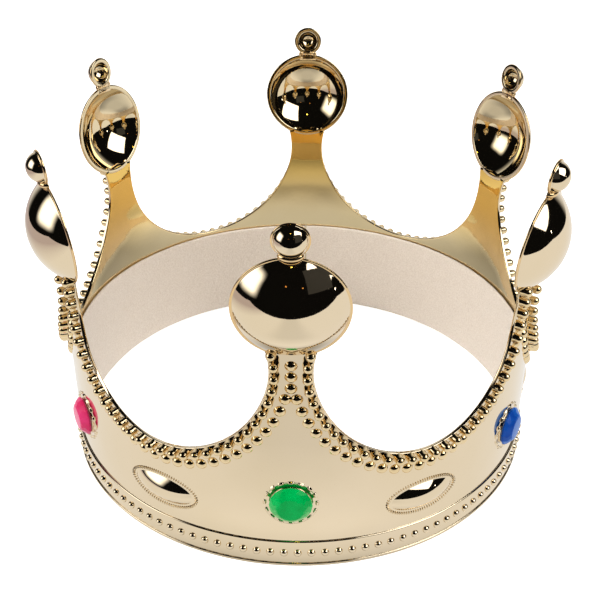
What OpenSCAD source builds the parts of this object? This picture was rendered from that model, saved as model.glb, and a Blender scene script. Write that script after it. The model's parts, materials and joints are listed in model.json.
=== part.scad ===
// Costume crown: a thin gold shell with six leaning points, each ending in a hollow
// half-dome and a small finial, set with six jewels and lined with a felt sweatband.
// Units are millimetres. The rim stands on z = 0, the axis is Z, and the front faces -Y.

/* [Band] */
// Radius of the outside of the band
band_r = 96.3; // [90:0.1:102]
// Thickness of the moulded wall
wall_t = 1.2; // [1:0.1:1.6]
// Height at which the straight band starts to flare
flare_z = 46; // [44:0.5:47]
// How far the wall leans outwards per millimetre of height above the band
flare_slope = 0.035; // [0:0.005:0.06]

/* [Rim] */
// Height of the plain strip round the foot of the band
strip_h = 11.6; // [10:0.1:13]
// How far the strip stands proud of the band
strip_out = 0.7; // [0.4:0.1:0.9]
// Height of the thin lip at the very bottom
lip_h = 1.3; // [1:0.1:1.8]
// How far the lip stands proud of the strip
lip_out = 0.5; // [0.2:0.1:0.6]

/* [Points] */
// Radius of the round scallop between two points
scallop_r = 41.7; // [41:0.1:42.6]
// Height of the centre of the scallop's circle
scallop_z = 87.8; // [87:0.1:91]
// Width of the raised edging along a scallop
edging_w = 3.6; // [1.6:0.1:4]
// How far the edging stands proud of the wall
edging_out = 3.6; // [0.8:0.1:4]

/* [Domes] */
// Height of the middle of a dome
dome_z = 112.4; // [111:0.1:114]
// Distance of the middle of a dome's inner face from the crown's axis
dome_axis_r = 98; // [97.4:0.1:98.6]
// Angle by which a dome leans outwards
dome_lean = 5.8; // [3:0.1:9]
// Radius of the dome's ball at the open side of the dome
dome_base_r = 19.1; // [18.4:0.1:19.1]
// How far the dome bulges outwards
dome_depth = 10.8; // [10:0.1:13]
// Radius of the flat flange round a dome
dome_flange_r = 19.4; // [19.2:0.1:19.8]

/* [Finials] */
// Distance from the middle of a dome to the middle of its finial
finial_up = 25.4; // [25:0.1:25.8]
// Radius of the finial's ball at the open side of the finial
finial_base_r = 5.65; // [5:0.05:6]
// How far the finial bulges outwards
finial_depth = 5.6; // [4.6:0.1:5.6]
// Radius of the flat flange round a finial
finial_flange_r = 6.2; // [6.1:0.1:6.6]
// Thickness of a finial's wall
finial_t = 1.4; // [0.8:0.1:1.6]
// Radius of the collar between a dome and its finial
collar_r = 4.2; // [3.8:0.1:5]
// Height of that collar
collar_h = 2.2; // [2:0.1:3]

/* [Jewels] */
// Height of the middle of a jewel
jewel_z = 30; // [28:0.5:32]
// Radius of a jewel
jewel_r = 7.8; // [7:0.1:8]
// Thickness of a jewel from its back to its table
jewel_h = 3.7; // [3:0.1:5]
// Radius of the jewel's domed face
jewel_face_r = 10.5; // [9.8:0.1:13]
// Inner radius of the toothed setting
setting_in_r = 8; // [7.9:0.1:8.3]
// Outer radius of the toothed setting
setting_out_r = 9.7; // [9.4:0.1:10]
// How far the teeth of the setting stand proud of the band
setting_out = 1.4; // [1.2:0.1:2]
// Number of teeth round a setting
setting_teeth = 16; // [12:2:20]
// Width of the gap between two teeth
tooth_gap = 1.3; // [1:0.1:1.8]
// Depth of the gap between two teeth
tooth_h = 0.7; // [0.4:0.1:0.9]
// Thickness of the pad of glue behind a jewel
glue_t = 0.3; // [0.2:0.05:0.4]

/* [Oval bosses] */
// Height of the middle of an oval boss
boss_z = 24; // [22:0.5:27]
// Half the length of an oval boss with its border
boss_half_l = 15.5; // [12:0.5:16]
// Half the height of an oval boss with its border
boss_half_h = 7.8; // [6:0.1:8.2]
// Half the height of the blunt ends of the border
boss_end_h = 3.2; // [2:0.1:4.5]
// Width of the border round the boss
boss_border_w = 1.9; // [1:0.1:2.4]
// How far the border stands proud of the band
border_out = 0.7; // [0.4:0.1:1]
// How far the boss inside the border stands proud of the band
boss_out = 2.2; // [1:0.1:2.5]

/* [Lining] */
// Radius of the opening that the head goes into
head_r = 93.6; // [92:0.1:94]
// Thickness of the double-sided tape behind the felt
tape_t = 0.2; // [0.15:0.05:0.3]
// Height of the lower edge of the felt above the ground
felt_bottom = 1; // [0.5:0.1:2]
// Height of the upper edge of the felt above the ground
felt_top = 44.5; // [40:0.5:45]
// Width of the open seam where the two ends of the felt meet
seam_w = 0.5; // [0.3:0.1:1]
// How far the tape stays back from the edges of the felt
tape_inset = 2; // [1:0.5:4]

/* [Hidden] */
$fn = 96;
point_count = 6;
point_step = 360 / point_count;
band_in_r = band_r - wall_t;
strip_r = band_r + strip_out;
rim_r = strip_r + lip_out;
// The wall carries on a little way behind each dome's flange
wall_top = dome_z - dome_flange_r + 1.6;
wall_top_r = band_r + flare_slope * (wall_top - flare_z);
// Radius of the ball that a cap of a given base radius and depth belongs to
function ball_r(base_r, depth) = (base_r * base_r + depth * depth) / (2 * depth);
dome_bowl_r = sqrt(pow(ball_r(dome_base_r, dome_depth) - wall_t, 2)
                   - pow(ball_r(dome_base_r, dome_depth) - dome_depth, 2));
seat_out = 0.3;
seat_r = band_r + seat_out;
jewel_back_r = seat_r + glue_t;
glue_r = jewel_r - 1.4;
tape_r = band_in_r - tape_t;
past = 1;
gold = [0.86, 0.71, 0.42];
felt_cream = [0.85, 0.80, 0.75];
tape_white = [0.93, 0.92, 0.88];
glue_clear = [0.92, 0.90, 0.80];
jewel_green = [0.0, 0.62, 0.30];
jewel_blue = [0.15, 0.28, 0.66];
jewel_red = [0.78, 0.08, 0.28];

// Turns its children from the front to a given angle round the crown
module at_angle(angle) {
    rotate([0, 0, angle]) children();
}

// Lays its children against the wall: their Z points straight out of the crown
module facing_out(radius, height) {
    translate([0, -radius, height]) rotate([90, 0, 0]) children();
}

// Band, rim steps and flared wall as one turned profile
module wall_profile() {
    step = 0.4;
    polygon([
        [band_in_r, 0],
        [rim_r, 0],
        [rim_r, lip_h - step],
        [strip_r, lip_h],
        [strip_r, strip_h - step],
        [band_r, strip_h],
        [band_r, flare_z],
        [wall_top_r, wall_top],
        [wall_top_r - wall_t, wall_top],
        [band_in_r, flare_z]
    ]);
}

// Thin layer just outside the wall, from which the raised edging is cut
module edging_layer() {
    rooted = 0.3;
    rotate_extrude($fn = 180) polygon([
        [band_r - rooted, strip_h + past],
        [band_r + edging_out, strip_h + past],
        [band_r + edging_out, flare_z],
        [wall_top_r + edging_out, wall_top],
        [wall_top_r - rooted, wall_top],
        [band_r - rooted, flare_z]
    ]);
}

// Round bar through the wall, in the middle of one scallop
module scallop_bar(radius) {
    facing_out(0, scallop_z) cylinder(r = radius, h = rim_r + 20, $fn = 180);
}

// Raised edging that follows one scallop
module scallop_edging() {
    intersection() {
        edging_layer();
        difference() {
            scallop_bar(scallop_r + edging_w);
            scallop_bar(scallop_r);
        }
    }
}

// Hollow cap with a flat flange. Its open side is on z = 0 and it bulges towards +Z
module hollow_cap(base_r, depth, flange_r, thickness) {
    round_r = ball_r(base_r, depth);
    difference() {
        union() {
            cylinder(r = flange_r, h = thickness);
            intersection() {
                translate([0, 0, depth - round_r]) sphere(r = round_r);
                cylinder(r = flange_r, h = depth + past);
            }
        }
        translate([0, 0, depth - round_r]) sphere(r = round_r - thickness);
    }
}

// Half collar that joins a dome to its finial, open on the inner side
module collar() {
    collar_wall = 1.1;
    bottom = finial_up - finial_base_r - collar_h + 0.9;
    difference() {
        translate([0, bottom, 0]) rotate([-90, 0, 0]) difference() {
            cylinder(r = collar_r, h = collar_h);
            translate([0, 0, -past])
                cylinder(r = collar_r - collar_wall, h = collar_h + 2 * past);
        }
        translate([-2 * collar_r, bottom - past, -4 * collar_r])
            cube([4 * collar_r, collar_h + 2 * past, 4 * collar_r]);
    }
    // Flat web behind the collar, in line with both flanges
    web_w = 1.6 * collar_r;
    translate([-web_w / 2, bottom, 0]) cube([web_w, collar_h, finial_t]);
}

// Dome, collar and finial of one point
module point_top() {
    translate([0, -dome_axis_r, dome_z]) rotate([90 + dome_lean, 0, 0]) {
        hollow_cap(dome_base_r, dome_depth, dome_flange_r, wall_t);
        collar();
        translate([0, finial_up, 0])
            hollow_cap(finial_base_r, finial_depth, finial_flange_r, finial_t);
    }
}

// Clears the wall out of a dome's bowl
module bowl_bore() {
    reach = 8;
    translate([0, -dome_axis_r, dome_z]) rotate([90 + dome_lean, 0, 0])
        translate([0, 0, -reach]) cylinder(r = dome_bowl_r, h = 2 * reach);
}

// Toothed ring that holds one jewel, with a flat seat inside it
module jewel_setting() {
    depth = wall_t / 2 + setting_out;
    seat_depth = wall_t / 2 + seat_out;
    facing_out(band_r - wall_t / 2, jewel_z) {
        cylinder(r = setting_in_r + 0.2, h = seat_depth);
        difference() {
            cylinder(r = setting_out_r, h = depth);
            translate([0, 0, seat_depth - 0.1]) cylinder(r = setting_in_r, h = depth);
            for (i = [0 : setting_teeth / 2 - 1])
                rotate([0, 0, (i + 0.5) * 360 / setting_teeth])
                    translate([-setting_out_r - past, -tooth_gap / 2, depth - tooth_h])
                        cube([2 * (setting_out_r + past), tooth_gap, tooth_h + past]);
        }
    }
}

// Oval of two long flat arcs and two blunt ends
module oval(half_l, half_h, end_h) {
    drop = half_h - end_h;
    side_r = (half_l * half_l + drop * drop) / (2 * drop);
    intersection() {
        translate([0, half_h - side_r]) circle(r = side_r, $fn = 180);
        translate([0, side_r - half_h]) circle(r = side_r, $fn = 180);
        circle(r = half_l);
    }
}

// Oval that stands proud of the band by a given amount and follows its curve
module oval_step(inset, proud) {
    depth = wall_t + boss_out;
    intersection() {
        facing_out(band_r - wall_t / 2, boss_z) linear_extrude(height = depth)
            oval(boss_half_l - inset, boss_half_h - inset, boss_end_h - inset / 2);
        translate([0, 0, boss_z - boss_half_h - past])
            cylinder(r = band_r + proud, h = 2 * (boss_half_h + past), $fn = 180);
    }
}

// Oval boss and its border, on the band under the middle of a scallop
module oval_boss() {
    oval_step(0, border_out);
    oval_step(boss_border_w, boss_out);
}

// One-piece moulded shell
module crown_shell() color(gold) {
    difference() {
        rotate_extrude($fn = 180) wall_profile();
        for (i = [0 : point_count - 1]) {
            at_angle((i + 0.5) * point_step) scallop_bar(scallop_r);
            at_angle(i * point_step) bowl_bore();
        }
    }
    for (i = [0 : point_count - 1]) {
        at_angle((i + 0.5) * point_step) scallop_edging();
        at_angle((i + 0.5) * point_step) oval_boss();
        at_angle(i * point_step) jewel_setting();
        at_angle(i * point_step) point_top();
    }
}

// Ring inside the band, with an open seam at the back
module seamed_ring(inner_r, outer_r, low, high) {
    difference() {
        translate([0, 0, low]) cylinder(r = outer_r, h = high - low, $fn = 180);
        translate([0, 0, low - past])
            cylinder(r = inner_r, h = high - low + 2 * past, $fn = 180);
        translate([-seam_w / 2, 0, low - past])
            cube([seam_w, outer_r + past, high - low + 2 * past]);
    }
}

// Felt strip round the inside of the band
module sweatband_lining() color(felt_cream)
    seamed_ring(head_r, tape_r, felt_bottom, felt_top);

// Double-sided tape behind the felt
module lining_tape() color(tape_white)
    seamed_ring(tape_r, band_in_r, felt_bottom + tape_inset, felt_top - tape_inset);

// Round jewel with a domed face and a small flat table
module jewel(index, shade) color(shade)
    at_angle(index * point_step) facing_out(jewel_back_r, jewel_z) {
        crown_rise = 0.5;
        intersection() {
            cylinder(r = jewel_r, h = jewel_h);
            translate([0, 0, jewel_h + crown_rise - jewel_face_r]) sphere(r = jewel_face_r);
        }
    }

// Pad of glue between a jewel and its seat
module glue(index) color(glue_clear)
    at_angle(index * point_step) facing_out(seat_r, jewel_z) cylinder(r = glue_r, h = glue_t);

crown_shell();
sweatband_lining();
lining_tape();
jewel(0, jewel_green);  // jewel_front
jewel(1, jewel_blue);  // jewel_front_right
jewel(2, jewel_red);  // jewel_back_right
jewel(3, jewel_green);  // jewel_back
jewel(4, jewel_blue);  // jewel_back_left
jewel(5, jewel_red);  // jewel_front_left
glue(0);  // glue_front
glue(1);  // glue_front_right
glue(2);  // glue_back_right
glue(3);  // glue_back
glue(4);  // glue_back_left
glue(5);  // glue_front_left
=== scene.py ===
"""Looks for a costume crown: mirror-gold moulded shell, felt sweatband and faceted jewels."""
import json
import math

import bmesh
import bpy
import numpy as np
from mathutils import Matrix, Vector


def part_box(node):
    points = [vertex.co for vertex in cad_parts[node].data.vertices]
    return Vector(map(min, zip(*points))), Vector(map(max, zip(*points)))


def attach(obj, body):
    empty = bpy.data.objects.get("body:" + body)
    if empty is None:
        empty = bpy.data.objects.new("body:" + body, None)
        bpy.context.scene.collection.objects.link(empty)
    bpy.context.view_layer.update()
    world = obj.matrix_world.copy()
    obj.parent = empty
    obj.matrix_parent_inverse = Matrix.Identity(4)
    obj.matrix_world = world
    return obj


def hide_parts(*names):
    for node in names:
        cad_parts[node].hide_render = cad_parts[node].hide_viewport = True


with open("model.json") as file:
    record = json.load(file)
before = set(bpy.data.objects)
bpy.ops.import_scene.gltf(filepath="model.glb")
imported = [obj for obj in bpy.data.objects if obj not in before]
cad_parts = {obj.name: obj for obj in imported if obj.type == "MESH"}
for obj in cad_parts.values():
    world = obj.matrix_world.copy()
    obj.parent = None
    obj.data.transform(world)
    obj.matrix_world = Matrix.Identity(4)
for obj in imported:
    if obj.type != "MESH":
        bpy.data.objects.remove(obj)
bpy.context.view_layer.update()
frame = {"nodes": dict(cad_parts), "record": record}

# Metres in a millimetre, and the distance in metres under which a mesh's points merge
MM = 0.001
MERGE_M = 2e-6

# The crown repeats this many times round its axis, at this step in degrees
POINTS = 6
STEP = 360 / POINTS

# Driving dimensions of the moulded shell in millimetres, the same as in the CAD part. A name
# with _R is a radius, _Z a height above the ground, _OUT a height above the surface round it,
# _T a thickness, and DOME_LEAN is in degrees.
BAND_R = 96.3
WALL_T = 1.2
FLARE_Z = 46
FLARE_SLOPE = 0.035
FLARE_SOFTNESS = 6
STRIP_H = 11.6
STRIP_OUT = 0.7
LIP_H = 1.3
LIP_OUT = 0.5
SCALLOP_R = 41.7
SCALLOP_Z = 87.8
DOME_Z = 112.4
DOME_AXIS_R = 98
DOME_LEAN = 5.8
DOME_BASE_R = 19.1
DOME_DEPTH = 10.8
DOME_FLANGE_R = 19.4
FINIAL_UP = 25.4
FINIAL_BASE_R = 5.65
FINIAL_DEPTH = 5.6
FINIAL_FLANGE_R = 6.2
FINIAL_T = 1.4
COLLAR_R = 4.2
COLLAR_H = 2.2
JEWEL_Z = 30
SETTING_TEETH = 16
SEAT_OUT = 0.3
GLUE_T = 0.3
BOSS_Z = 24
BOSS_HALF_L = 15.5
BOSS_HALF_H = 7.8

# Visual details that only this file has, in millimetres. The steps between beads are in
# degrees round a scallop, and the rows are distances from its edge.
EDGE_BEAD_R = 1.75
EDGE_BEAD_OUT = 3.9
EDGE_BEAD_ROW = 1.9
EDGE_BEADS = 32
EDGE_BEAD_STEP = 6.4
BUTTON_R = 2.15
BUTTON_OUT = 1.35
BUTTON_ROW = 6.2
BUTTON_ROW_SWAY = 0.9
BUTTONS = 26
BUTTON_STEP = 6.05
NECK_BEAD_Z = (80.2, 84.8, 89.4)
RIM_BEADS = 120
RIM_BEAD_Z = 6.2
RIM_BEAD_R = 1.55
RIM_BEAD_OUT = 1.25
PILLOW_HALF_L = BOSS_HALF_L - 2.3
PILLOW_HALF_H = BOSS_HALF_H - 2
PILLOW_OUT = 2.9
KNOTS = 70
KNOT_LINE_IN = 0.7
TEETH_R = 9.4
TEETH_OUT = 0.7
NOTCH_OUT = 0.2


# ---------------------------------------------------------------- mesh helpers

def grid(points, close_rows=False, close_columns=False):
    """Vertices and quads over an array of points of shape (rows, columns, 3)."""
    rows, columns = points.shape[:2]
    index = np.arange(rows * columns).reshape(rows, columns)
    if close_rows:
        index = np.vstack([index, index[:1]])
    if close_columns:
        index = np.hstack([index, index[:, :1]])
    quads = np.stack([index[:-1, :-1], index[1:, :-1], index[1:, 1:], index[:-1, 1:]], -1)
    return points.reshape(-1, 3), quads.reshape(-1, 4)


def capped(points, axis):
    """Closes both ends of a tube of points, each with a fan round its middle."""
    first, last = points.take([0], axis), points.take([-1], axis)
    before = np.broadcast_to(first.mean(1 - axis, keepdims=True), first.shape)
    after = np.broadcast_to(last.mean(1 - axis, keepdims=True), last.shape)
    return np.concatenate([before, points, after], axis)


def joined(parts):
    """One (vertices, faces) pair from several."""
    verts, faces, start = [], [], 0
    for part_verts, part_faces in parts:
        verts.append(part_verts)
        faces.append(np.asarray(part_faces) + start)
        start += len(part_verts)
    return np.concatenate(verts), np.concatenate(faces)


def turned(profile, segments):
    """A profile of (radius, height) rows turned round the local Z axis."""
    angle = np.linspace(0, 2 * math.pi, segments, endpoint=False)
    profile = np.asarray(profile, float)
    radius, height = profile[:, :1], profile[:, 1:]
    points = np.stack([radius * np.cos(angle), radius * np.sin(angle),
                       height + 0 * angle], -1)
    return grid(points, close_columns=True)


def arc(centre, radius, start, end, steps):
    """Points of a circular arc in a profile, with angles in degrees."""
    angle = np.radians(np.linspace(start, end, steps + 1))
    return np.stack([centre[0] + radius * np.cos(angle),
                     centre[1] + radius * np.sin(angle)], -1)


def spin(points, angle):
    """Turns points round the crown's axis, in degrees from the front towards +X."""
    a = math.radians(angle)
    x, y, z = points[..., 0], points[..., 1], points[..., 2]
    return np.stack([x * math.cos(a) - y * math.sin(a),
                     x * math.sin(a) + y * math.cos(a), z], -1)


def facing_out(points, radius, height, lean=0.0):
    """Stands local points against the front of the wall, with local Z outwards and local Y up."""
    a = math.radians(90 + lean)
    x, y, z = points[..., 0], points[..., 1], points[..., 2]
    return np.stack([x, -radius + y * math.cos(a) - z * math.sin(a),
                     height + y * math.sin(a) + z * math.cos(a)], -1)


def add_object(name, data):
    """A new object in the scene."""
    obj = bpy.data.objects.new(name, data)
    bpy.context.scene.collection.objects.link(obj)
    return obj


def clean(mesh):
    """Merges the points that coincide and turns all faces outwards."""
    bm = bmesh.new()
    bm.from_mesh(mesh)
    bmesh.ops.remove_doubles(bm, verts=bm.verts, dist=MERGE_M)
    bmesh.ops.recalc_face_normals(bm, faces=bm.faces)
    bm.to_mesh(mesh)
    bm.free()


def piece(name, shape, materials, replaces, material_of=None):
    """A finished object from millimetre vertices and faces. It rides on the crown's one body."""
    verts, faces = shape
    mesh = bpy.data.meshes.new(name)
    mesh.from_pydata((np.asarray(verts) * MM).tolist(), [], np.asarray(faces).tolist())
    for material in materials:
        mesh.materials.append(material)
    if material_of is not None:
        mesh.polygons.foreach_set("material_index", np.asarray(material_of, np.int32))
    clean(mesh)
    mesh.shade_smooth()
    obj = add_object(name, mesh)
    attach(obj, "root")
    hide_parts(*replaces)
    return obj


def shell_piece(name, parts, materials, material_of=None):
    """A finished piece of the gold moulding."""
    return piece(name, joined(parts), materials, ["crown_shell"], material_of)


# ---------------------------------------------------------------- materials

def new_material(name):
    """An empty node material with its principled shader."""
    material = bpy.data.materials.new(name)
    material.use_nodes = True
    return material, material.node_tree, material.node_tree.nodes["Principled BSDF"]


def plug(tree, socket, value):
    """Links another node's output to an input, or sets the input to a plain value."""
    if isinstance(value, bpy.types.NodeSocket):
        tree.links.new(value, socket)
    else:
        socket.default_value = value


def fill_in(tree, node, **sockets):
    """Plugs values into some of a node's inputs by name."""
    for name, value in sockets.items():
        plug(tree, node.inputs[name.replace("_", " ")], value)
    return node


def add_node(tree, kind, **sockets):
    """A node with some of its inputs filled in."""
    return fill_in(tree, tree.nodes.new(kind), **sockets)


def operation(tree, kind, operation_name, *values):
    """The outputs of a math or vector math node."""
    node = tree.nodes.new(kind)
    node.operation = operation_name
    for socket, value in zip(node.inputs, values):
        plug(tree, socket, value)
    return node.outputs


def axes(tree, space="Object"):
    """The X, Y and Z outputs of a point's place, which is in metres in object space."""
    place = tree.nodes.new("ShaderNodeTexCoord").outputs[space]
    node = tree.nodes.new("ShaderNodeSeparateXYZ")
    tree.links.new(place, node.inputs[0])
    return node.outputs


def noise(tree, scale, detail=2.0, roughness=0.5):
    """Noise in object space, whose scale is in cycles per metre."""
    place = tree.nodes.new("ShaderNodeTexCoord").outputs["Object"]
    node = add_node(tree, "ShaderNodeTexNoise", Vector=place, Scale=scale, Detail=detail,
                    Roughness=roughness)
    return node.outputs["Fac"]


def ramp(tree, factor, stops):
    """A colour ramp from (position, colour) stops."""
    node = add_node(tree, "ShaderNodeValToRGB", Fac=factor)
    elements = node.color_ramp.elements
    while len(elements) < len(stops):
        elements.new(0.5)
    for element, (position, colour) in zip(elements, stops):
        element.position = position
        element.color = (*colour, 1)
    return node.outputs["Color"]


def mapped(tree, value, start, end, low=0.0, high=1.0, smooth=False):
    """Maps the range from start to end onto the one from low to high, and holds both ends."""
    node = add_node(tree, "ShaderNodeMapRange", Value=value, From_Min=start, From_Max=end,
                    To_Min=low, To_Max=high)
    if smooth:
        node.interpolation_type = "SMOOTHSTEP"
    return node.outputs["Result"]


def mottled(tree, factor, low, high):
    """Spreads a 0 to 1 noise over a range, for an uneven roughness."""
    return mapped(tree, factor, 0.0, 1.0, low, high)


def blended(tree, share, first, second):
    """A mix of two colours."""
    node = add_node(tree, "ShaderNodeMixRGB", Fac=share, Color1=first, Color2=second)
    return node.outputs["Color"]


def bump(tree, height, distance, under=None):
    """A bump whose height is in metres, on top of another one where one is given."""
    node = add_node(tree, "ShaderNodeBump", Distance=distance, Height=height)
    if under is not None:
        tree.links.new(under, node.inputs["Normal"])
    return node.outputs["Normal"]


# Heights in metres between which the gold inside the necks turns to amber: painted interreflection,
# the deeper colour of light bounced between the gold walls
PAINTED_AMBER_START, PAINTED_AMBER_END = 0.048, 0.080


def gold(name, pale, deep, amber=None):
    """Vacuum-metallised plastic: mirror bright, with slow waviness and faint haze.

    Where an amber colour is given, the gold turns to it up the inside of the necks: painted
    interreflection, the deeper colour of light bounced between the gold walls.
    """
    material, tree, shader = new_material(name)
    tint = ramp(tree, noise(tree, 28, 3), [(0.3, deep), (0.7, pale)])
    # Painted interreflection colour, rising with height inside the necks
    if amber:
        up = mapped(tree, axes(tree)["Z"], PAINTED_AMBER_START, PAINTED_AMBER_END, smooth=True)
        tint = blended(tree, up, tint, (*amber, 1))
    haze = mottled(tree, noise(tree, 240, 4, 0.6), 0.02, 0.06)
    slow = bump(tree, noise(tree, 45, 1), 0.00025)
    fine = bump(tree, noise(tree, 420, 3), 0.000008, under=slow)
    fill_in(tree, shader, Metallic=1.0, Base_Color=tint, Roughness=haze, Normal=fine)
    return material


def felt_material():
    """Cream felt: short matted fibres with fine mottling and a soft sheen."""
    material, tree, shader = new_material("cream_felt")
    tint = ramp(tree, noise(tree, 1400, 6, 0.7),
                [(0.3, (0.74, 0.62, 0.50)), (0.7, (0.94, 0.83, 0.71))])
    matting = bump(tree, noise(tree, 900, 5, 0.65), 0.0004)
    fibres = bump(tree, noise(tree, 3800, 3, 0.7), 0.00025, under=matting)
    fill_in(tree, shader, Base_Color=tint, Roughness=0.95, Sheen_Weight=0.35,
            Sheen_Roughness=0.5, Normal=fibres)
    return material


def jewel_material(name, core, patch, edge):
    """Coloured moulded plastic, lighter in patches like foil behind it, and with painted light
    towards its edge.

    It is opaque, and a faint glow of its own stands in for the light that a clear one lets through.
    """
    material, tree, shader = new_material(name)
    foil = ramp(tree, noise(tree, 170, 1), [(0.35, core), (0.7, patch)])
    # Painted light: the colour turns to the lighter edge colour where the surface faces away from
    # the view, and the glow below uses the same colour
    facing = add_node(tree, "ShaderNodeLayerWeight", Blend=0.5).outputs["Facing"]
    tint = blended(tree, mapped(tree, facing, 0.35, 0.85, high=0.7), foil, (*edge, 1))
    polish = mottled(tree, noise(tree, 500, 2), 0.03, 0.09)
    fill_in(tree, shader, Base_Color=tint, Roughness=polish, IOR=1.5, Specular_IOR_Level=0.1,
            Emission_Color=tint, Emission_Strength=0.3)
    return material


def tape_material():
    """White double-sided tape with a faint paper grain."""
    material, tree, shader = new_material("white_tape")
    tint = ramp(tree, noise(tree, 700, 4), [(0.3, (0.80, 0.78, 0.72)), (0.7, (0.88, 0.87, 0.83))])
    fill_in(tree, shader, Base_Color=tint, Roughness=mottled(tree, noise(tree, 900, 3), 0.5, 0.75),
            Normal=bump(tree, noise(tree, 1500, 3), 0.00005))
    return material


def glue_material():
    """Set clear adhesive, slightly yellow and uneven."""
    material, tree, shader = new_material("set_glue")
    tint = ramp(tree, noise(tree, 900, 3), [(0.3, (0.78, 0.72, 0.55)), (0.7, (0.90, 0.87, 0.76))])
    fill_in(tree, shader, Base_Color=tint, Roughness=mottled(tree, noise(tree, 600, 3), 0.15, 0.4),
            Transmission_Weight=0.3, Normal=bump(tree, noise(tree, 800, 2), 0.0001))
    return material


GOLD_OUTSIDE = gold("gold_outside", (0.82, 0.68, 0.48), (0.79, 0.65, 0.44))
# Painted interreflection: the inside gold is a warmer copy of the outside gold
GOLD_INSIDE = gold("gold_inside", (0.90, 0.73, 0.44), (0.86, 0.69, 0.39),
                   amber=(0.88, 0.58, 0.16))
# Painted interreflection: warmer copies of the gold for the beads, and for the dome and finial
# flanges and the collars, where light bounces between gold parts
GOLD_BEADS = gold("gold_beads", (0.85, 0.68, 0.42), (0.81, 0.62, 0.34))
GOLD_FLANGE = gold("gold_flange", (0.84, 0.62, 0.35), (0.80, 0.56, 0.28))
GOLD_BOWL = gold("gold_bowl", (0.82, 0.68, 0.44), (0.79, 0.64, 0.40))


# ---------------------------------------------------------------- the wall

LEAN_SLOPE = math.tan(math.radians(DOME_LEAN))
FLANGE_LOW_Z = DOME_Z - DOME_FLANGE_R * math.cos(math.radians(DOME_LEAN))
FLANGE_LOW_R = DOME_AXIS_R - DOME_FLANGE_R * math.sin(math.radians(DOME_LEAN)) + WALL_T
FLANGE_COVER = 0.15  # how far a neck ends inside its dome's flange
HALF_CHORD = math.sin(math.radians(STEP / 2))  # half the width of one share, per unit of radius

# Heights over which a neck bends towards its dome's flange, thins, and loses its raised edges
NECK_BEND_RUN, NECK_THIN_RUN, NECK_FLAT_RUN = 28, 24, 4
NECK_THINNING = 0.3

# Height up to which the foot reaches, and the angle round a scallop where its edge ends
FOOT_TOP = STRIP_H + 1.4
TOP_ANGLE = 100


def neck_end(z, run):
    """0 on the wall, rising over the last stretch to 1 where a neck meets its dome's flange."""
    share = np.clip((z - FLANGE_LOW_Z + run) / run, 0, 1)
    return share * share * (3 - 2 * share)


def wall_r(z):
    """Outer radius of the wall: upright, then flared, then just under the dome's flange."""
    over = z - FLARE_Z
    flared = BAND_R + FLARE_SLOPE * 0.5 * (over + np.sqrt(over * over + FLARE_SOFTNESS ** 2))
    under_flange = FLANGE_LOW_R - FLANGE_COVER + LEAN_SLOPE * (z - FLANGE_LOW_Z)
    return flared + (under_flange - flared) * neck_end(z, NECK_BEND_RUN)


def edge_section():
    """Section across a scalloped edge, as (distance from the edge, distance proud of the wall).

    It runs from the inside of the wall, over the edge, to the outside.
    """
    inner_round, outer_round = 0.45, 0.35
    inside = [(along, -WALL_T) for along in (5.6, 5.0, 4.2, 3.4, 2.6, 1.6, 0.9)]
    inner_corner = arc((inner_round, inner_round - WALL_T), inner_round, 270, 180, 5)
    outer_corner = arc((outer_round, 0), outer_round, 180, 90, 5)
    outside = [(1.1, 0.35), (1.5, 0.35), (1.9, 0.31), (2.3, 0.2), (2.6, 0.08), (3.0, 0.01),
               (4.2, 0), (5.6, 0)]
    return np.concatenate([inside, inner_corner, [(0, -0.5)], outer_corner, outside])


def rim_section():
    """Section of the foot below the scallops, as (height, distance proud of the wall)."""
    strip, lip, round_r = STRIP_OUT, STRIP_OUT + LIP_OUT, 0.65
    above = [(STRIP_H + 0.7, 0), (STRIP_H + 0.15, 0)]
    shoulder = arc((STRIP_H - round_r, strip - round_r), round_r, 0, 90, 7)
    face = [(z, strip) for z in (STRIP_H - 1, 9.5, 8, 6.2, 4.4, 2.8, LIP_H + 0.5, LIP_H + 0.1)]
    lip_round = arc((LIP_H - LIP_OUT, strip), LIP_OUT, 0, 90, 6)
    under = [(0.35, lip), (0.1, lip - 0.1), (0, lip - 0.35)]
    inner_corner = [(0, 0), (0, -WALL_T + 0.3), (0.1, -WALL_T + 0.08)]
    inside = [(z, -WALL_T) for z in (0.35, 3, 7, 10)]
    return np.concatenate([above, shoulder, face, lip_round, under, inner_corner, inside])


def corner_angle():
    """Angle at which a ray from the scallop's centre meets the foot under the next point."""
    half_u = float(wall_r(FOOT_TOP)) * HALF_CHORD
    return math.degrees(math.atan2(half_u, SCALLOP_Z - FOOT_TOP))


def reach(angle):
    """Distance from a scallop's centre to the foot, or to the line through the next point."""
    a = math.radians(angle)
    if angle <= corner_angle():
        return (SCALLOP_Z - FOOT_TOP) / math.cos(a)
    distance = SCALLOP_R + 7
    for _ in range(12):  # each round comes closer, because the wall's radius changes slowly
        half_u = float(wall_r(SCALLOP_Z - distance * math.cos(a))) * HALF_CHORD
        distance = half_u / math.sin(a)
    return distance


def wobble(angle, z):
    """Slight unevenness of the moulding, the same in every scallop and even about its middle."""
    return 0.05 * np.cos(POINTS * angle) * np.sin(z / 11) + 0.03 * np.cos(2 * POINTS * angle)


def wall_point(u, z, proud):
    """A point on the wall that lies u sideways of the scallop's middle, which faces the front."""
    radius = wall_r(z)
    angle = np.arcsin(np.clip(u / radius, -1, 1))
    radius = radius + proud + wobble(angle, z)
    return np.stack([radius * np.sin(angle), -radius * np.cos(angle), z + 0 * angle], -1)


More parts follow.
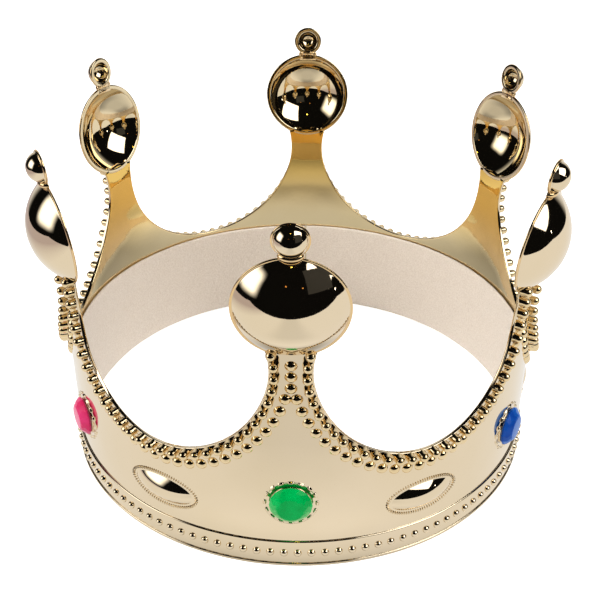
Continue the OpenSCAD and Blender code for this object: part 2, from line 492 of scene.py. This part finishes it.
def wall_column(angle, end, share):
    """The skin along a ray from a scallop's centre: up the inside, over the edge, down outside."""
    a = math.radians(angle)
    section = edge_section()
    near = section[0, 0]
    rho = SCALLOP_R + near + (end - SCALLOP_R - near) * share
    outer = np.stack([rho, 0 * rho], -1)
    inner = np.stack([rho[::-1], 0 * rho - WALL_T], -1)
    line = np.concatenate([inner, section + [SCALLOP_R, 0], outer])
    u, z = line[:, 0] * math.sin(a), SCALLOP_Z - line[:, 0] * math.cos(a)
    raised, sunk = np.maximum(line[:, 1], 0), np.minimum(line[:, 1], 0)
    proud = (raised * (1 - neck_end(z, NECK_FLAT_RUN))
             + sunk * (1 - NECK_THINNING * neck_end(z, NECK_THIN_RUN)))
    return wall_point(u, z, proud)


def foot_column(angle, end):
    """The skin round the foot, which closes a column below the scallops."""
    rim = rim_section()
    u_share = end * math.sin(math.radians(angle)) / float(wall_r(FOOT_TOP))
    return wall_point(np.full(len(rim), u_share) * wall_r(rim[:, 0]), rim[:, 0], rim[:, 1])


def half_scallop():
    """Columns of half of one scallop's share of the wall, from its lowest line to the next point.

    Those up to the corner are closed round the foot. Gives the number of these as well.
    """
    lower_columns, upper_columns, fan_rows, crowding = 27, 56, 26, 1.25
    corner = corner_angle()
    lower = np.linspace(0, corner, lower_columns)
    upper = np.linspace(corner, TOP_ANGLE, upper_columns)[1:]
    share = np.linspace(0, 1, fan_rows + 1)[1:] ** crowding
    columns = []
    for angle in np.concatenate([lower, upper]):
        end = reach(angle)
        column = wall_column(angle, end, share)
        if angle <= corner + 1e-9:
            column = np.concatenate([column, foot_column(angle, end)])
        columns.append(column)
    return columns, lower_columns


def stitched(columns, lower_count):
    """Faces between neighbouring columns, and whether each face is on the inside."""
    verts = np.concatenate(columns)
    starts = np.cumsum([0] + [len(c) for c in columns])
    all_rows, scallop_rows = len(columns[0]), len(columns[-1])
    edge_row = scallop_rows // 2 - 3  # the inside ends just before the edge's inner corner
    foot_row = all_rows - 8  # and starts again where the foot's section turns up
    faces, inside = [], []
    for c in range(len(columns) - 1):
        a, b = starts[c], starts[c + 1]
        closed = c + 1 < lower_count
        for k in range(all_rows if closed else scallop_rows - 1):
            k2 = (k + 1) % all_rows if closed else k + 1
            faces.append((a + k, b + k, b + k2, a + k2))
            inside.append(int(k < edge_row or k > foot_row))
    return verts, faces, inside


def end_cap(columns):
    """Closes the top of the neck, which is hidden inside the dome's flange."""
    count = len(columns[-1])
    start = sum(len(c) for c in columns[:-1])
    return [(start + k, start + k + 1, start + count - 2 - k, start + count - 1 - k)
            for k in range(count // 2 - 1)]


def build_wall():
    """The band, the rim and the six necks, as one closed skin."""
    columns, lower_count = half_scallop()
    verts, faces, inside = stitched(columns, lower_count)
    caps = end_cap(columns)
    faces, inside = faces + caps, inside + [0] * len(caps)
    mirrored = verts * np.array([-1, 1, 1])
    parts = []
    for i in range(POINTS):
        middle = (i + 0.5) * STEP
        parts.append((spin(verts, middle), faces))
        parts.append((spin(mirrored, middle), faces))
    shell_piece("shell_wall", parts, [GOLD_OUTSIDE, GOLD_INSIDE], np.tile(inside, 2 * POINTS))


# ---------------------------------------------------------------- domes and finials

def ball_r(base_r, depth):
    """Radius of the ball that a cap of this base and depth belongs to."""
    return (base_r * base_r + depth * depth) / (2 * depth)


LEDGE_SHARE = 0.7  # thickness of a flange, as a share of the wall's


def cap_section(base_r, depth, flange_r, thick, steps):
    """Section of a hollow cap with a rounded flange, as (radius, height) rows.

    Gives the first row of the flange and the first row of the inside as well.
    """
    radius = ball_r(base_r, depth)
    centre = depth - radius
    ledge = thick * LEDGE_SHARE
    meet = math.asin((ledge + 0.12 - centre) / radius)
    outer = arc((0, centre), radius, 90, math.degrees(meet), steps)
    foot_r = radius * math.cos(meet)
    round_r = ledge * 0.45
    fillet = [(foot_r + 0.08, ledge + 0.03), (foot_r + 0.2, ledge)]
    rim_out = arc((flange_r - round_r, ledge - round_r), round_r, 90, 0, 5)
    rim_in = arc((flange_r - round_r, round_r), round_r, 0, -90, 5)
    inner_radius = radius - thick
    mouth = math.asin((0.3 - centre) / inner_radius)
    mouth_r = inner_radius * math.cos(mouth)
    lead = [(mouth_r + 0.45, 0), (mouth_r + 0.12, 0.08)]
    inner = arc((0, centre), inner_radius, math.degrees(mouth), 90, steps)
    section = np.concatenate([outer, fillet, rim_out, rim_in, lead, inner])
    section[0, 0] = section[-1, 0] = 0
    first_flange = len(outer)
    first_inside = first_flange + len(fillet) + len(rim_out) + 2
    return section, first_flange, first_inside


def hollow_cap(base_r, depth, flange_r, thick, segments, steps):
    """A turned hollow cap, and for each face 0 outside, 1 on the flange and 2 inside."""
    section, first_flange, first_inside = cap_section(base_r, depth, flange_r, thick, steps)
    verts, faces = turned(section, segments)
    row = np.repeat(np.arange(len(section) - 1), segments)
    return (verts, faces), (row >= first_flange).astype(int) + (row >= first_inside)


def on_point(shape, index, up=0.0):
    """Puts a shape from a dome's own axes onto one of the crown's points."""
    verts, faces = shape
    lifted = verts + np.array([0, up, 0])
    return spin(facing_out(lifted, DOME_AXIS_R, DOME_Z, DOME_LEAN), index * STEP), faces


# Golds of a cap's outside, flange and inside
CAP_GOLDS = [GOLD_OUTSIDE, GOLD_FLANGE, GOLD_BOWL]


def build_domes():
    """Six hollow half-domes, one at the end of each point."""
    shape, zone = hollow_cap(DOME_BASE_R, DOME_DEPTH, DOME_FLANGE_R, WALL_T,
                             segments=128, steps=40)
    parts = [on_point(shape, i) for i in range(POINTS)]
    shell_piece("shell_domes", parts, CAP_GOLDS, np.tile(zone, POINTS))


def build_finials():
    """Six small hollow finials above the domes."""
    shape, zone = hollow_cap(FINIAL_BASE_R, FINIAL_DEPTH, FINIAL_FLANGE_R, FINIAL_T,
                             segments=72, steps=22)
    parts = [on_point(shape, i, FINIAL_UP) for i in range(POINTS)]
    shell_piece("shell_finials", parts, CAP_GOLDS, np.tile(zone, POINTS))


def collar_ring():
    """Half ring between a dome and its finial, bulging in the middle, with a flat back."""
    bottom = FINIAL_UP - FINIAL_BASE_R - COLLAR_H + 0.9
    bulge, flatness = COLLAR_H / 2, 0.69
    outer = arc((COLLAR_R - bulge, bulge), bulge, -90, 90, 10)
    inner = [(2.5, COLLAR_H), (2.7, bulge), (2.5, 0)]
    section = np.concatenate([outer, inner])
    radius, height = section[:, :1], section[:, 1:] + bottom
    angle = np.radians(np.linspace(0, 180, 49))
    points = np.stack([radius * np.cos(angle), height + 0 * angle,
                       radius * np.sin(angle) * flatness], -1)
    return grid(capped(points, 1), close_rows=True)


def collar_web():
    """Rounded flat web behind the collar, in line with both flanges."""
    bottom = FINIAL_UP - FINIAL_BASE_R - 3
    half_widths = [(3.9, 0), (3.4, 0.9), (3.2, 1.9), (3.3, 2.9), (3.7, 3.8)]
    bulge, middle, thick = 0.15, 0.5, 1.0
    rows = []
    for width, height in half_widths:
        ring = [(-width, 0), (-width - bulge, middle), (-width, thick), (width, thick),
                (width + bulge, middle), (width, 0)]
        rows.append([(x, bottom + height, z) for x, z in ring])
    return grid(capped(np.array(rows), 0), close_columns=True)


def build_collars():
    """Collars and their webs for all six points."""
    parts = [on_point(collar_ring(), i) for i in range(POINTS)]
    parts += [on_point(collar_web(), i) for i in range(POINTS)]
    shell_piece("shell_collars", parts, [GOLD_FLANGE])


# ---------------------------------------------------------------- beads

def bullet(radius, out):
    """Bead on a short stem that starts a little inside the wall."""
    stem = out - radius
    section = [(0, -0.45), (radius * 1.12, -0.45), (radius * 1.12, -0.35),
               (radius * 1.04, 0.8), (radius, 1.2), (radius, stem)]
    tip = arc((0, stem), radius, 0, 90, 9)[1:]
    section = np.concatenate([section, tip])
    section[-1, 0] = 0
    return turned(section, segments=22)


def button(radius, out):
    """Flat round bead: a cap of a ball, which starts a little inside the wall."""
    foot, cap_start = -0.25, -0.15
    ball = ball_r(radius, out)
    centre = out - ball
    cap = arc((0, centre), ball, math.degrees(math.asin((cap_start - centre) / ball)), 90, 7)
    cap[-1, 0] = 0
    section = np.concatenate([[(0, foot), (cap[0, 0], foot)], cap])
    return turned(section, segments=20)


def on_wall(shape, u, z, middle):
    """Stands a shape on the wall, u sideways of a middle angle, along the wall's normal."""
    verts, faces = shape
    radius = float(wall_r(z))
    angle = math.degrees(math.asin(u / radius))
    return spin(facing_out(verts, radius, z), middle + angle), faces


def along_scallop(row, angle):
    """Sideways and upward place beside a scallop's edge, at an angle from its lowest place."""
    a = math.radians(angle)
    rho = SCALLOP_R + row
    return rho * math.sin(a), SCALLOP_Z - rho * math.cos(a)


def build_edge_beads():
    """The row of beads right beside each scalloped edge."""
    shape = bullet(EDGE_BEAD_R, EDGE_BEAD_OUT)
    for i in range(POINTS):
        parts = []
        for k in range(EDGE_BEADS):
            angle = (k - (EDGE_BEADS - 1) / 2) * EDGE_BEAD_STEP
            u, z = along_scallop(EDGE_BEAD_ROW, angle)
            parts.append(on_wall(shape, u, z, (i + 0.5) * STEP))
        shell_piece(f"edge_beads_{i + 1}", parts, [GOLD_BEADS])


def build_buttons():
    """The second, flatter row of beads, and the three beads up the middle of each neck."""
    shape = button(BUTTON_R, BUTTON_OUT)
    parts = []
    for i in range(POINTS):
        for k in range(BUTTONS):
            angle = (k - (BUTTONS - 1) / 2) * BUTTON_STEP
            row = BUTTON_ROW + BUTTON_ROW_SWAY * math.cos(math.radians(angle))
            u, z = along_scallop(row, angle)
            parts.append(on_wall(shape, u, z, (i + 0.5) * STEP))
        for z in NECK_BEAD_Z:
            parts.append(on_wall(shape, 0, z, i * STEP))
    shell_piece("button_beads", parts, [GOLD_BEADS])


def build_rim_beads():
    """The ring of small beads round the strip at the foot."""
    verts, faces = button(RIM_BEAD_R, RIM_BEAD_OUT)
    stood = facing_out(verts, BAND_R + STRIP_OUT, RIM_BEAD_Z)
    parts = [(spin(stood, (k + 0.5) * 360 / RIM_BEADS), faces) for k in range(RIM_BEADS)]
    shell_piece("rim_beads", parts, [GOLD_OUTSIDE])


# ---------------------------------------------------------------- settings and bosses

def bent_to_band(points, height):
    """Bends local points, with Z out from the band, round the band's curve."""
    angle = points[..., 0] / BAND_R
    radius = BAND_R + points[..., 2]
    return np.stack([radius * np.sin(angle), -radius * np.cos(angle),
                     height + points[..., 1]], -1)


def setting_ring():
    """Narrow ring of rounded teeth round a jewel, and the flat channel between the two."""
    steps_per_tooth, steepness = 20, 1.3
    angle = np.linspace(0, 2 * math.pi, SETTING_TEETH * steps_per_tooth, endpoint=False)
    tooth = np.clip(0.5 + steepness * np.cos(SETTING_TEETH * angle), 0, 1)
    tooth = tooth * tooth * (3 - 2 * tooth)
    crest = NOTCH_OUT + (TEETH_OUT - NOTCH_OUT) * tooth
    level = 0 * crest
    rows = [(7.3, level - 0.5), (7.35, level), (7.6, level + 0.06), (8.7, level + 0.07),
            (TEETH_R - 0.45, 0.4 * crest), (TEETH_R - 0.28, crest - 0.09),
            (TEETH_R - 0.12, crest), (TEETH_R + 0.12, crest), (TEETH_R + 0.28, crest - 0.09),
            (TEETH_R + 0.45, 0.45 * crest), (TEETH_R + 0.65, 0.1 * crest),
            (TEETH_R + 0.9, level - 0.15)]
    points = np.stack([np.stack([r * np.cos(angle), r * np.sin(angle), h], -1)
                       for r, h in rows])
    verts, faces = grid(points, close_rows=True, close_columns=True)
    return bent_to_band(verts, JEWEL_Z), faces


def seat_dish():
    """Shallow shining dish behind a jewel."""
    section = [(0, SEAT_OUT), (5, SEAT_OUT), (7.0, SEAT_OUT), (7.25, SEAT_OUT - 0.05),
               (7.35, SEAT_OUT - 0.2), (7.35, -0.8), (0, -0.8)]
    return turned(section, segments=48)


def build_settings():
    """Six toothed settings with their dishes."""
    dish, dish_faces = seat_dish()
    setting = joined([(facing_out(dish, BAND_R, JEWEL_Z), dish_faces), setting_ring()])
    parts = [(spin(setting[0], i * STEP), setting[1]) for i in range(POINTS)]
    shell_piece("jewel_settings", parts, [GOLD_OUTSIDE])


def oval_outline(half_l, half_h, angle):
    """An oval: x and y at an angle round it."""
    return half_l * np.cos(angle), half_h * np.sin(angle)


def pillow():
    """Smooth domed oval in the middle of a boss."""
    around, up = 120, 19
    angle = np.linspace(0, 2 * math.pi, around, endpoint=False)
    share = np.cos(np.radians(np.linspace(0, 90, up)))
    dome = list(zip(share, PILLOW_OUT * (1 - share ** 2)))
    rows = []
    for share, lift in [(0, -0.5), (1, -0.5), (1.02, -0.3)] + dome:
        x, y = oval_outline(PILLOW_HALF_L * share, PILLOW_HALF_H * share, angle)
        rows.append(np.stack([x, y, lift + 0 * x], -1))
    verts, faces = grid(np.array(rows), close_columns=True)
    return bent_to_band(verts, BOSS_Z), faces


def even_oval(half_l, half_h, count):
    """Points at even distances along an oval, and the direction out of it at each of them."""
    fine_steps = 4000
    angle = np.linspace(0, 2 * math.pi, fine_steps, endpoint=False)
    x, y = oval_outline(half_l, half_h, angle)
    steps = np.hypot(np.diff(x, append=x[0]), np.diff(y, append=y[0]))
    length = np.concatenate([[0], np.cumsum(steps)])
    places = np.linspace(0, length[-1], count, endpoint=False)
    x, y = oval_outline(half_l, half_h, np.interp(places, length, np.append(angle, 2 * math.pi)))
    along = np.stack([np.roll(x, -1) - np.roll(x, 1), np.roll(y, -1) - np.roll(y, 1)], -1)
    along /= np.linalg.norm(along, axis=1)[:, None]
    return x, y, along[:, 1], -along[:, 0]


def knotted_border():
    """Border of small rounded knots round a boss: a tube that swells at each knot."""
    rows_per_knot, around, lift = 12, 10, 0.05
    thin, swell, fullness, roundness = 0.05, 0.58, 0.15, 0.6
    x, y, out_x, out_y = even_oval(BOSS_HALF_L - KNOT_LINE_IN, BOSS_HALF_H - KNOT_LINE_IN,
                                   KNOTS * rows_per_knot)
    phase = np.arange(len(x)) / rows_per_knot * 2 * math.pi
    radius = thin + swell * np.clip(np.cos(phase) + fullness, 0, 1) ** roundness
    rows = []
    for turn in np.linspace(0, 2 * math.pi, around, endpoint=False):
        side, up = radius * math.cos(turn), radius * math.sin(turn)
        rows.append(np.stack([x + out_x * side, y + out_y * side, lift + up], -1))
    verts, faces = grid(np.array(rows), close_rows=True, close_columns=True)
    return bent_to_band(verts, BOSS_Z), faces


def build_bosses():
    """Six oval bosses with knotted borders, under the middle of each scallop."""
    verts, faces = joined([pillow(), knotted_border()])
    parts = [(spin(verts, (i + 0.5) * STEP), faces) for i in range(POINTS)]
    shell_piece("oval_bosses", parts, [GOLD_OUTSIDE])


# ---------------------------------------------------------------- lining and jewels

def felt_section(bottom, top, outer_r, thick):
    """Section of the felt strip with its rounded edges, as (radius, height) rows."""
    inner_rows, outer_rows, round_steps = 34, 6, 6
    middle_r = outer_r - thick / 2
    inner = np.stack([np.full(inner_rows, outer_r - thick),
                      np.linspace(bottom + 0.5, top - 0.5, inner_rows)], -1)
    over = arc((middle_r, top - 0.6), thick / 2, 180, 0, round_steps)
    outer = np.stack([np.full(outer_rows, outer_r),
                      np.linspace(top - 1.2, bottom + 1.2, outer_rows)], -1)
    under = arc((middle_r, bottom + 0.6), thick / 2, 0, -180, round_steps)
    return np.concatenate([inner, over[1:-1], outer, under[1:-1]])


def build_felt():
    """Felt strip round the inside of the band, with soft edges and a butt seam at the back."""
    low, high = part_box("sweatband_lining")
    bottom, top, outer_r = low.z / MM, high.z / MM, high.y / MM
    thick, half_seam = 1.3, 0.25
    section = felt_section(bottom, top, outer_r, thick)
    gap = half_seam / outer_r
    angle = np.linspace(math.pi + gap, 3 * math.pi - gap, 720)
    on_inside = np.clip((outer_r - section[:, :1]) / thick, 0, 1)
    height_share = (section[:, 1:] - bottom) / (top - bottom)
    ripple = on_inside * 0.06 * np.sin(angle * 17 + 9 * height_share)
    radius = section[:, :1] + ripple
    wave = 0.10 * np.sin(angle * 9) + 0.07 * np.sin(angle * 23 + 1) + 0.05 * np.sin(angle * 61 + 2)
    height = np.clip(section[:, 1:] + wave * (height_share - 0.5) * 1.2, bottom, top)
    points = np.stack([radius * np.sin(angle), -radius * np.cos(angle), height], -1)
    shape = grid(capped(points, 1), close_rows=True)
    felt = piece("felt_sweatband", shape, [felt_material()], ["sweatband_lining"])


def jewel_shape():
    """Faceted round jewel with a flat back, a low girdle, sloping facets and a table."""
    sides = 16
    rows = [(0, 0, 0), (7.3, 0, 0), (7.75, 0.25, 0), (7.9, 0.7, 0), (7.6, 1.15, 0),
            (6.5, 2.25, 0.5), (5.3, 3.25, 0), (4.7, 3.58, 0), (2.6, 3.68, 0), (0, 3.7, 0)]
    points = []
    for radius, height, shift in rows:
        angle = (np.arange(sides) + shift) * 2 * math.pi / sides
        points.append(np.stack([radius * np.cos(angle), radius * np.sin(angle),
                                height + 0 * angle], -1))
    return grid(np.array(points), close_columns=True)


def soften(obj, width, segments, angle):
    """Rounds the edges of an object that are sharper than an angle in degrees."""
    bevel = obj.modifiers.new("soft_edges", "BEVEL")
    bevel.width = width
    bevel.segments = segments
    bevel.limit_method = "ANGLE"
    bevel.angle_limit = math.radians(angle)
    bevel.harden_normals = True


# Core, patch and edge colour of each kind of jewel; the lighter edge colour is painted light
JEWEL_COLOURS = {
    "green": ((0.0, 0.27, 0.05), (0.0, 0.35, 0.07), (0.19, 0.50, 0.19)),
    "blue": ((0.004, 0.04, 0.24), (0.008, 0.07, 0.33), (0.02, 0.13, 0.42)),
    "red": ((0.45, 0.015, 0.07), (0.52, 0.03, 0.12), (0.56, 0.10, 0.20)),
}
# Nodes of the jewels, from the front round towards +X
JEWELS = ["jewel_front", "jewel_front_right", "jewel_back_right", "jewel_back",
          "jewel_back_left", "jewel_front_left"]


def build_jewels():
    """The six jewels. Each takes its colour from the slot that the record gives its node."""
    slot_of = {part["node"]: part["material_slot"] for part in frame["record"]["subparts"]}
    materials = {name: jewel_material(f"jewel_{name}_plastic", *colours)
                 for name, colours in JEWEL_COLOURS.items()}
    back = BAND_R + SEAT_OUT + GLUE_T
    verts, faces = jewel_shape()
    for i, node in enumerate(JEWELS):
        colour = slot_of[node].removeprefix("jewel_")
        shape = spin(facing_out(verts, back, JEWEL_Z), i * STEP), faces
        obj = piece(node.replace("jewel", "cut_jewel"), shape, [materials[colour]],
                    [node])
        soften(obj, width=0.22 * MM, segments=2, angle=8)


def dress_cad_nodes():
    """Materials for the CAD nodes that stay."""
    tape, glue = tape_material(), glue_material()
    for name, obj in frame["nodes"].items():
        if name == "lining_tape" or name.startswith("glue"):
            obj.data.materials.clear()
            obj.data.materials.append(tape if name == "lining_tape" else glue)


# ---------------------------------------------------------------- stage

CROWN_MIDDLE = Vector((0, 0, 0.11))
WHITE = (1, 1, 1)
WARM = (1.0, 0.45, 0.1)
FILL_SIZE = 0.9


def direction(azimuth, elevation):
    """Unit vector towards a place round the crown. Azimuth 0 is the front and 90 is +X."""
    a, e = math.radians(azimuth), math.radians(elevation)
    return Vector((math.sin(a) * math.cos(e), -math.cos(a) * math.cos(e), math.sin(e)))


def aim(obj, looking, front, turn=0.0):
    """Points an object's front in a direction, after a turn in degrees about its own Z axis."""
    facing = looking.to_track_quat(front, "Y").to_matrix()
    facing = facing @ Matrix.Rotation(math.radians(turn), 3, "Z")
    obj.rotation_mode = "QUATERNION"
    obj.rotation_quaternion = facing.to_quaternion()


def soft_edge(tree, across, half, fade):
    """1 in the middle of a panel, falling to 0 over the last part of its half width."""
    off_middle = operation(tree, "ShaderNodeMath", "ABSOLUTE", across)[0]
    return mapped(tree, off_middle, half * (1 - fade), half, 1.0, 0.0, smooth=True)


def glow_material(name, colour, strength, half_w, half_h, fade):
    """Even glow that fades out towards the edges of its panel."""
    material = bpy.data.materials.new(name)
    material.use_nodes = True
    tree = material.node_tree
    tree.nodes.clear()
    level = strength
    if fade:
        place = axes(tree)
        inside = operation(tree, "ShaderNodeMath", "MULTIPLY",
                           soft_edge(tree, place["X"], half_w, fade),
                           soft_edge(tree, place["Y"], half_h, fade))[0]
        level = operation(tree, "ShaderNodeMath", "MULTIPLY", inside, strength)[0]
    glow = add_node(tree, "ShaderNodeEmission", Color=(*colour, 1), Strength=level)
    add_node(tree, "ShaderNodeOutputMaterial", Surface=glow.outputs[0])
    return material


def emitter(name, azimuth, elevation, distance, size, strength, colour=WHITE, fade=0.0, turn=0.0,
            round_off=False):
    """A glowing square or round panel that faces the crown and that the camera doesn't see."""
    w, h = size[0] / 2, size[1] / 2
    if round_off:
        angles = [t * math.pi / 12 for t in range(24)]
        corners = [(w * math.cos(a), h * math.sin(a), 0) for a in angles]
    else:
        corners = [(-w, -h, 0), (w, -h, 0), (w, h, 0), (-w, h, 0)]
    mesh = bpy.data.meshes.new(name)
    mesh.from_pydata(corners, [], [tuple(range(len(corners)))])
    mesh.materials.append(glow_material(name, colour, strength, w, h, fade))
    obj = add_object(name, mesh)
    towards = direction(azimuth, elevation)
    obj.location = CROWN_MIDDLE + towards * distance
    aim(obj, towards, "Z", turn)
    obj.visible_camera = False
    return obj


def fill_light(name, azimuth, elevation, distance, power):
    """A square light that shapes the felt and the jewels but isn't seen in the gold."""
    data = bpy.data.lights.new(name, "AREA")
    data.energy = power
    data.size = FILL_SIZE
    light = add_object(name, data)
    towards = direction(azimuth, elevation)
    light.location = CROWN_MIDDLE + towards * distance
    aim(light, towards, "Z")
    light.visible_camera = False
    light.visible_glossy = False


def build_lights():
    """Two softboxes, a dim panel close by on the right, two fill lights and four small spots.

    Sizes and distances are in metres, and angles are in degrees round the crown's middle.
    """
    emitter("softbox_left", azimuth=-72, elevation=19, distance=1.1, size=(0.98, 0.95),
            strength=2.4, fade=0.65)
    emitter("softbox_right", azimuth=62, elevation=39, distance=1.3, size=(1.05, 1.05),
            strength=3.0, fade=0.12, turn=45)
    panel = emitter("dim_panel", azimuth=28.8, elevation=21.5, distance=0.18,
                    size=(0.094, 0.073), strength=0.045)
    panel.visible_diffuse = panel.visible_shadow = False
    fill_light("fill_left", azimuth=-73, elevation=35, distance=1.1, power=14.5)
    fill_light("fill_right", azimuth=62, elevation=45, distance=1.3, power=6)
    emitter("ceiling_spot", azimuth=0, elevation=58, distance=1.3, size=(0.06, 0.06),
            strength=12.0, colour=(1.0, 0.80, 0.12), round_off=True)
    emitter("warm_spot_left", azimuth=-9, elevation=27, distance=1.3, size=(0.04, 0.04),
            strength=1.5, colour=WARM, round_off=True)
    emitter("warm_spot_right", azimuth=19, elevation=24, distance=1.3, size=(0.04, 0.04),
            strength=1.5, colour=WARM, round_off=True)
    emitter("side_spot", azimuth=73, elevation=5, distance=1.3, size=(0.03, 0.09),
            strength=6.0, round_off=True)


# Edges of the table top, and where its middle turns into its sides, in metres
FLOOR_LEFT, FLOOR_RIGHT, FLOOR_FRONT, FLOOR_BACK = -0.62, 1.2, -0.35, 1.2
MIDDLE_HALF_W, SIDES_HALF_W = 0.02, 0.08
LAVENDER_FULL_X, LAVENDER_GONE_X = -0.34, -0.18

# Grey level of the table's middle at some distances from the crown's axis; the darker greys are
# painted shade
MIDDLE_SHADE_GREYS = [(0.04, 0.62), (0.065, 0.45), (0.092, 0.32), (0.100, 0.82), (0.115, 1.0),
                (0.16, 0.80)]


def floor_glow(tree):
    """What the crown reflects of the table: white at the sides, and lavender at the far left.

    In the middle it depends on the distance: painted shade under the crown, bright just outside its
    foot, and a lighter painted shade further out.
    """
    place = tree.nodes.new("ShaderNodeTexCoord").outputs["Object"]
    distance = operation(tree, "ShaderNodeVectorMath", "LENGTH", place)["Value"]
    x = axes(tree)["X"]
    # Painted shade of the crown on the table's middle
    middle = ramp(tree, distance, [(at, (grey, grey, grey)) for at, grey in MIDDLE_SHADE_GREYS])
    sideways = operation(tree, "ShaderNodeMath", "ABSOLUTE", x)[0]
    off_middle = mapped(tree, sideways, MIDDLE_HALF_W, SIDES_HALF_W, smooth=True)
    sides = ramp(tree, mapped(tree, x, LAVENDER_FULL_X, LAVENDER_GONE_X),
                 [(0, (0.56, 0.50, 0.54)), (1, (0.93, 0.93, 0.93))])
    colour = blended(tree, off_middle, middle, sides)
    return add_node(tree, "ShaderNodeEmission", Color=colour, Strength=1.0).outputs[0]


def picked(tree, share, first, second):
    """The first shader, or the second where the share is 1."""
    node = add_node(tree, "ShaderNodeMixShader", Fac=share)
    plug(tree, node.inputs[1], first)
    plug(tree, node.inputs[2], second)
    return node.outputs[0]


def build_floor():
    """A wide pale table top. Its shadows stay faint, and its edges are seen only in the gold."""
    corners = [(FLOOR_LEFT, FLOOR_FRONT, 0), (FLOOR_RIGHT, FLOOR_FRONT, 0),
               (FLOOR_RIGHT, FLOOR_BACK, 0), (FLOOR_LEFT, FLOOR_BACK, 0)]
    mesh = bpy.data.meshes.new("floor")
    mesh.from_pydata(corners, [], [(0, 1, 2, 3)])
    floor = add_object("floor", mesh)
    material, tree, shader = new_material("white_table")
    fill_in(tree, shader, Base_Color=(0.8, 0.8, 0.8, 1), Roughness=0.9, Specular_IOR_Level=0.0,
            Emission_Color=(1, 1, 1, 1), Emission_Strength=0.7)
    seen = tree.nodes.new("ShaderNodeLightPath").outputs["Is Camera Ray"]
    surface = picked(tree, seen, floor_glow(tree), shader.outputs[0])
    fill_in(tree, tree.nodes["Material Output"], Surface=surface)
    mesh.materials.append(material)


def build_world():
    """White all round for the camera; in the gold a dark studio with a white backdrop behind."""
    world = bpy.data.worlds.new("studio")
    bpy.context.scene.world = world
    world.use_nodes = True
    tree = world.node_tree
    tree.nodes.clear()
    behind = mapped(tree, axes(tree, "Generated")["Y"], 0.5, 0.8, 0.004, 0.8, smooth=True)
    reflected, fill, white = [
        add_node(tree, "ShaderNodeBackground", Color=(1, 1, 1, 1), Strength=level).outputs[0]
        for level in (behind, 0.45, 1.0)]
    path = tree.nodes.new("ShaderNodeLightPath").outputs
    lit = picked(tree, path["Is Glossy Ray"], fill, reflected)
    surface = picked(tree, path["Is Camera Ray"], lit, white)
    add_node(tree, "ShaderNodeOutputWorld", Surface=surface)


# The camera's place and aim, fitted to the photograph, in metres and degrees
CAMERA_OUT, CAMERA_HEIGHT = 0.3645, 0.2748
CAMERA_AZIMUTH, CAMERA_PITCH, CAMERA_ROLL = 1.67, 31.22, 0.36
LENS_MM, SENSOR_MM = 58.94, 36


def build_camera():
    """Close camera, about 31 degrees above the crown and a little to its right."""
    data = bpy.data.cameras.new("camera")
    data.lens, data.sensor_width = LENS_MM, SENSOR_MM
    data.clip_start, data.clip_end = 0.01, 20
    camera = add_object("camera", data)
    camera.location = direction(CAMERA_AZIMUTH, 0) * CAMERA_OUT + Vector((0, 0, CAMERA_HEIGHT))
    aim(camera, -direction(CAMERA_AZIMUTH, CAMERA_PITCH), "-Z", CAMERA_ROLL)
    bpy.context.scene.camera = camera


build_wall()
build_domes()
build_finials()
build_collars()
build_edge_beads()
build_buttons()
build_rim_beads()
build_settings()
build_bosses()
build_felt()
build_jewels()
dress_cad_nodes()
build_floor()
build_lights()
build_world()
build_camera()
bpy.context.scene.view_settings.view_transform = "Standard"
